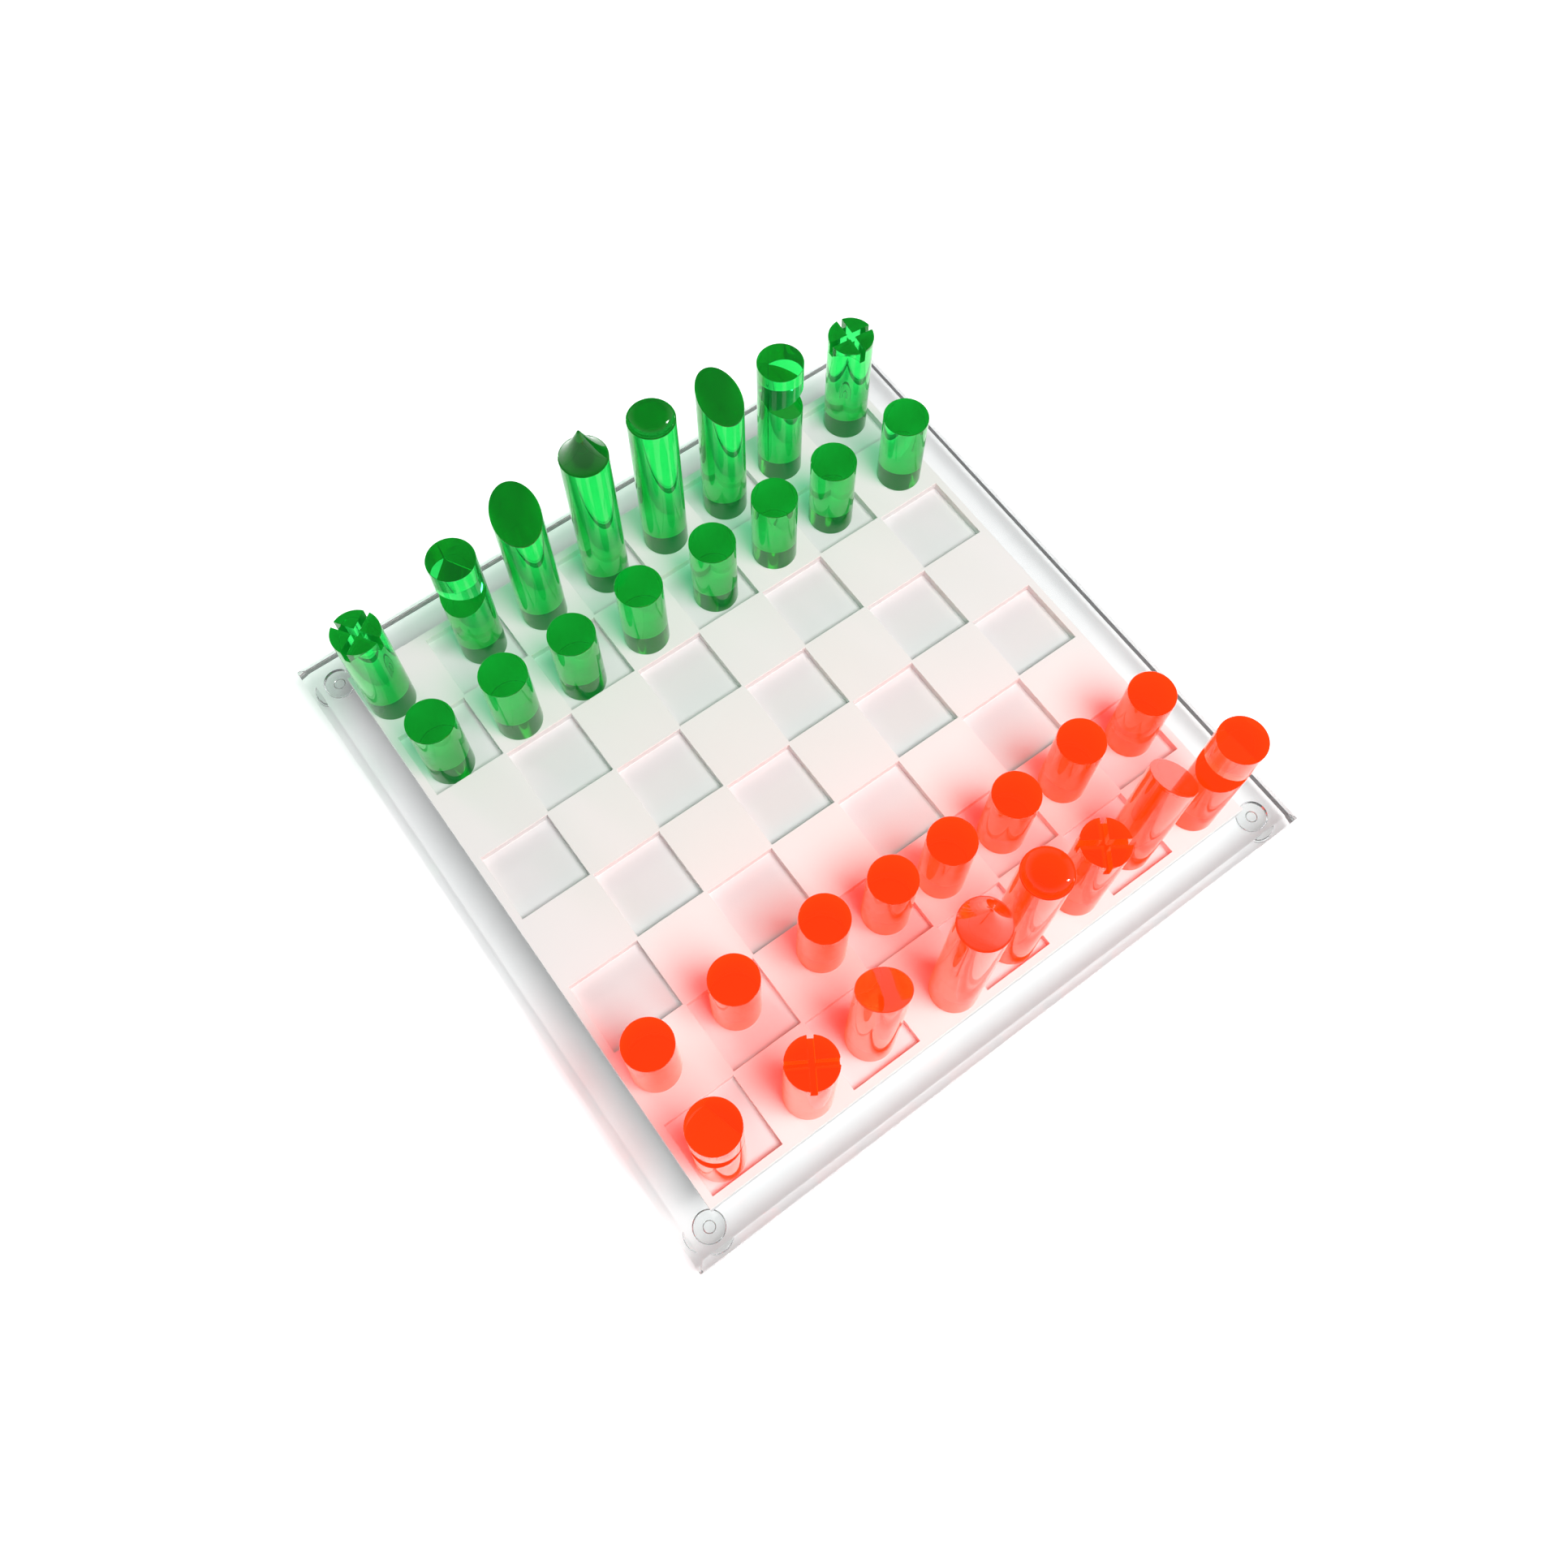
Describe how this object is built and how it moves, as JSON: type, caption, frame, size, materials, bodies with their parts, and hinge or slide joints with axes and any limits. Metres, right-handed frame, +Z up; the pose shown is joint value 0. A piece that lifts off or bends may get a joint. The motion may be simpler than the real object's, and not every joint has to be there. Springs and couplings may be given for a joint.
{
  "type": "chess set with board",
  "caption": "Modern chess set: polished clear green and red acrylic rod pieces on an opal two-level checkered board over a clear base plate with bumper feet.",
  "frame": {"origin": "under the middle of the base plate, at the level of the undersides of the feet", "axes": "+Z up, +X along the red side from left to right as the red player sits, +Y from the red side to the green side"},
  "size_m": [0.308, 0.308, 0.1281],
  "materials": {
    "clear_acrylic": "polished clear cast acrylic",
    "opal_acrylic": "opal white acrylic with a soft satin face",
    "clear_bumper": "soft clear polymer bumper",
    "green_acrylic": "polished transparent fluorescent green acrylic",
    "red_acrylic": "polished transparent fluorescent orange-red acrylic"
  },
  "bodies": {
    "board": {"base_plate": "clear_acrylic", "play_floor": "opal_acrylic", "play_rim": "opal_acrylic", "raised_squares_1": "opal_acrylic", "raised_squares_2": "opal_acrylic", "raised_squares_3": "opal_acrylic", "raised_squares_4": "opal_acrylic", "foot_near_left": "clear_bumper", "foot_near_right": "clear_bumper", "foot_far_left": "clear_bumper", "foot_far_right": "clear_bumper"},
    "red_knight_left": {"red_knight_left": "red_acrylic"},
    "red_rook_left": {"red_rook_left": "red_acrylic"},
    "red_bishop_left": {"red_bishop_left": "red_acrylic"},
    "red_king": {"red_king": "red_acrylic"},
    "red_queen": {"red_queen": "red_acrylic"},
    "red_rook_right": {"red_rook_right": "red_acrylic"},
    "red_bishop_right": {"red_bishop_right": "red_acrylic"},
    "red_knight_right": {"red_knight_right": "red_acrylic"},
    "red_pawn_1": {"red_pawn_1": "red_acrylic"},
    "red_pawn_2": {"red_pawn_2": "red_acrylic"},
    "red_pawn_3": {"red_pawn_3": "red_acrylic"},
    "red_pawn_4": {"red_pawn_4": "red_acrylic"},
    "red_pawn_5": {"red_pawn_5": "red_acrylic"},
    "red_pawn_6": {"red_pawn_6": "red_acrylic"},
    "red_pawn_7": {"red_pawn_7": "red_acrylic"},
    "red_pawn_8": {"red_pawn_8": "red_acrylic"},
    "green_pawn_1": {"green_pawn_1": "green_acrylic"},
    "green_pawn_2": {"green_pawn_2": "green_acrylic"},
    "green_pawn_3": {"green_pawn_3": "green_acrylic"},
    "green_pawn_4": {"green_pawn_4": "green_acrylic"},
    "green_pawn_5": {"green_pawn_5": "green_acrylic"},
    "green_pawn_6": {"green_pawn_6": "green_acrylic"},
    "green_pawn_7": {"green_pawn_7": "green_acrylic"},
    "green_pawn_8": {"green_pawn_8": "green_acrylic"},
    "green_rook_left": {"green_rook_left": "green_acrylic"},
    "green_knight_left": {"green_knight_left": "green_acrylic"},
    "green_bishop_left": {"green_bishop_left": "green_acrylic"},
    "green_king": {"green_king": "green_acrylic"},
    "green_queen": {"green_queen": "green_acrylic"},
    "green_bishop_right": {"green_bishop_right": "green_acrylic"},
    "green_knight_right": {"green_knight_right": "green_acrylic"},
    "green_rook_right": {"green_rook_right": "green_acrylic"}
  },
  "joints": [
    {"name": "red_knight_left_lift", "type": "slide", "parent": "board", "child": "red_knight_left", "axis": [0, 0, 1], "range_m": [0, 0.11]},
    {"name": "red_rook_left_lift", "type": "slide", "parent": "board", "child": "red_rook_left", "axis": [0, 0, 1], "range_m": [0, 0.11]},
    {"name": "red_bishop_left_lift", "type": "slide", "parent": "board", "child": "red_bishop_left", "axis": [0, 0, 1], "range_m": [0, 0.11]},
    {"name": "red_king_lift", "type": "slide", "parent": "board", "child": "red_king", "axis": [0, 0, 1], "range_m": [0, 0.11]},
    {"name": "red_queen_lift", "type": "slide", "parent": "board", "child": "red_queen", "axis": [0, 0, 1], "range_m": [0, 0.11]},
    {"name": "red_rook_right_lift", "type": "slide", "parent": "board", "child": "red_rook_right", "axis": [0, 0, 1], "range_m": [0, 0.11]},
    {"name": "red_bishop_right_lift", "type": "slide", "parent": "board", "child": "red_bishop_right", "axis": [0, 0, 1], "range_m": [0, 0.11]},
    {"name": "red_knight_right_lift", "type": "slide", "parent": "board", "child": "red_knight_right", "axis": [0, 0, 1], "range_m": [0, 0.11]},
    {"name": "red_pawn_1_lift", "type": "slide", "parent": "board", "child": "red_pawn_1", "axis": [0, 0, 1], "range_m": [0, 0.11]},
    {"name": "red_pawn_2_lift", "type": "slide", "parent": "board", "child": "red_pawn_2", "axis": [0, 0, 1], "range_m": [0, 0.11]},
    {"name": "red_pawn_3_lift", "type": "slide", "parent": "board", "child": "red_pawn_3", "axis": [0, 0, 1], "range_m": [0, 0.11]},
    {"name": "red_pawn_4_lift", "type": "slide", "parent": "board", "child": "red_pawn_4", "axis": [0, 0, 1], "range_m": [0, 0.11]},
    {"name": "red_pawn_5_lift", "type": "slide", "parent": "board", "child": "red_pawn_5", "axis": [0, 0, 1], "range_m": [0, 0.11]},
    {"name": "red_pawn_6_lift", "type": "slide", "parent": "board", "child": "red_pawn_6", "axis": [0, 0, 1], "range_m": [0, 0.11]},
    {"name": "red_pawn_7_lift", "type": "slide", "parent": "board", "child": "red_pawn_7", "axis": [0, 0, 1], "range_m": [0, 0.11]},
    {"name": "red_pawn_8_lift", "type": "slide", "parent": "board", "child": "red_pawn_8", "axis": [0, 0, 1], "range_m": [0, 0.11]},
    {"name": "green_pawn_1_lift", "type": "slide", "parent": "board", "child": "green_pawn_1", "axis": [0, 0, 1], "range_m": [0, 0.11]},
    {"name": "green_pawn_2_lift", "type": "slide", "parent": "board", "child": "green_pawn_2", "axis": [0, 0, 1], "range_m": [0, 0.11]},
    {"name": "green_pawn_3_lift", "type": "slide", "parent": "board", "child": "green_pawn_3", "axis": [0, 0, 1], "range_m": [0, 0.11]},
    {"name": "green_pawn_4_lift", "type": "slide", "parent": "board", "child": "green_pawn_4", "axis": [0, 0, 1], "range_m": [0, 0.11]},
    {"name": "green_pawn_5_lift", "type": "slide", "parent": "board", "child": "green_pawn_5", "axis": [0, 0, 1], "range_m": [0, 0.11]},
    {"name": "green_pawn_6_lift", "type": "slide", "parent": "board", "child": "green_pawn_6", "axis": [0, 0, 1], "range_m": [0, 0.11]},
    {"name": "green_pawn_7_lift", "type": "slide", "parent": "board", "child": "green_pawn_7", "axis": [0, 0, 1], "range_m": [0, 0.11]},
    {"name": "green_pawn_8_lift", "type": "slide", "parent": "board", "child": "green_pawn_8", "axis": [0, 0, 1], "range_m": [0, 0.11]},
    {"name": "green_rook_left_lift", "type": "slide", "parent": "board", "child": "green_rook_left", "axis": [0, 0, 1], "range_m": [0, 0.11]},
    {"name": "green_knight_left_lift", "type": "slide", "parent": "board", "child": "green_knight_left", "axis": [0, 0, 1], "range_m": [0, 0.11]},
    {"name": "green_bishop_left_lift", "type": "slide", "parent": "board", "child": "green_bishop_left", "axis": [0, 0, 1], "range_m": [0, 0.11]},
    {"name": "green_king_lift", "type": "slide", "parent": "board", "child": "green_king", "axis": [0, 0, 1], "range_m": [0, 0.11]},
    {"name": "green_queen_lift", "type": "slide", "parent": "board", "child": "green_queen", "axis": [0, 0, 1], "range_m": [0, 0.11]},
    {"name": "green_bishop_right_lift", "type": "slide", "parent": "board", "child": "green_bishop_right", "axis": [0, 0, 1], "range_m": [0, 0.11]},
    {"name": "green_knight_right_lift", "type": "slide", "parent": "board", "child": "green_knight_right", "axis": [0, 0, 1], "range_m": [0, 0.11]},
    {"name": "green_rook_right_lift", "type": "slide", "parent": "board", "child": "green_rook_right", "axis": [0, 0, 1], "range_m": [0, 0.11]}
  ]
}
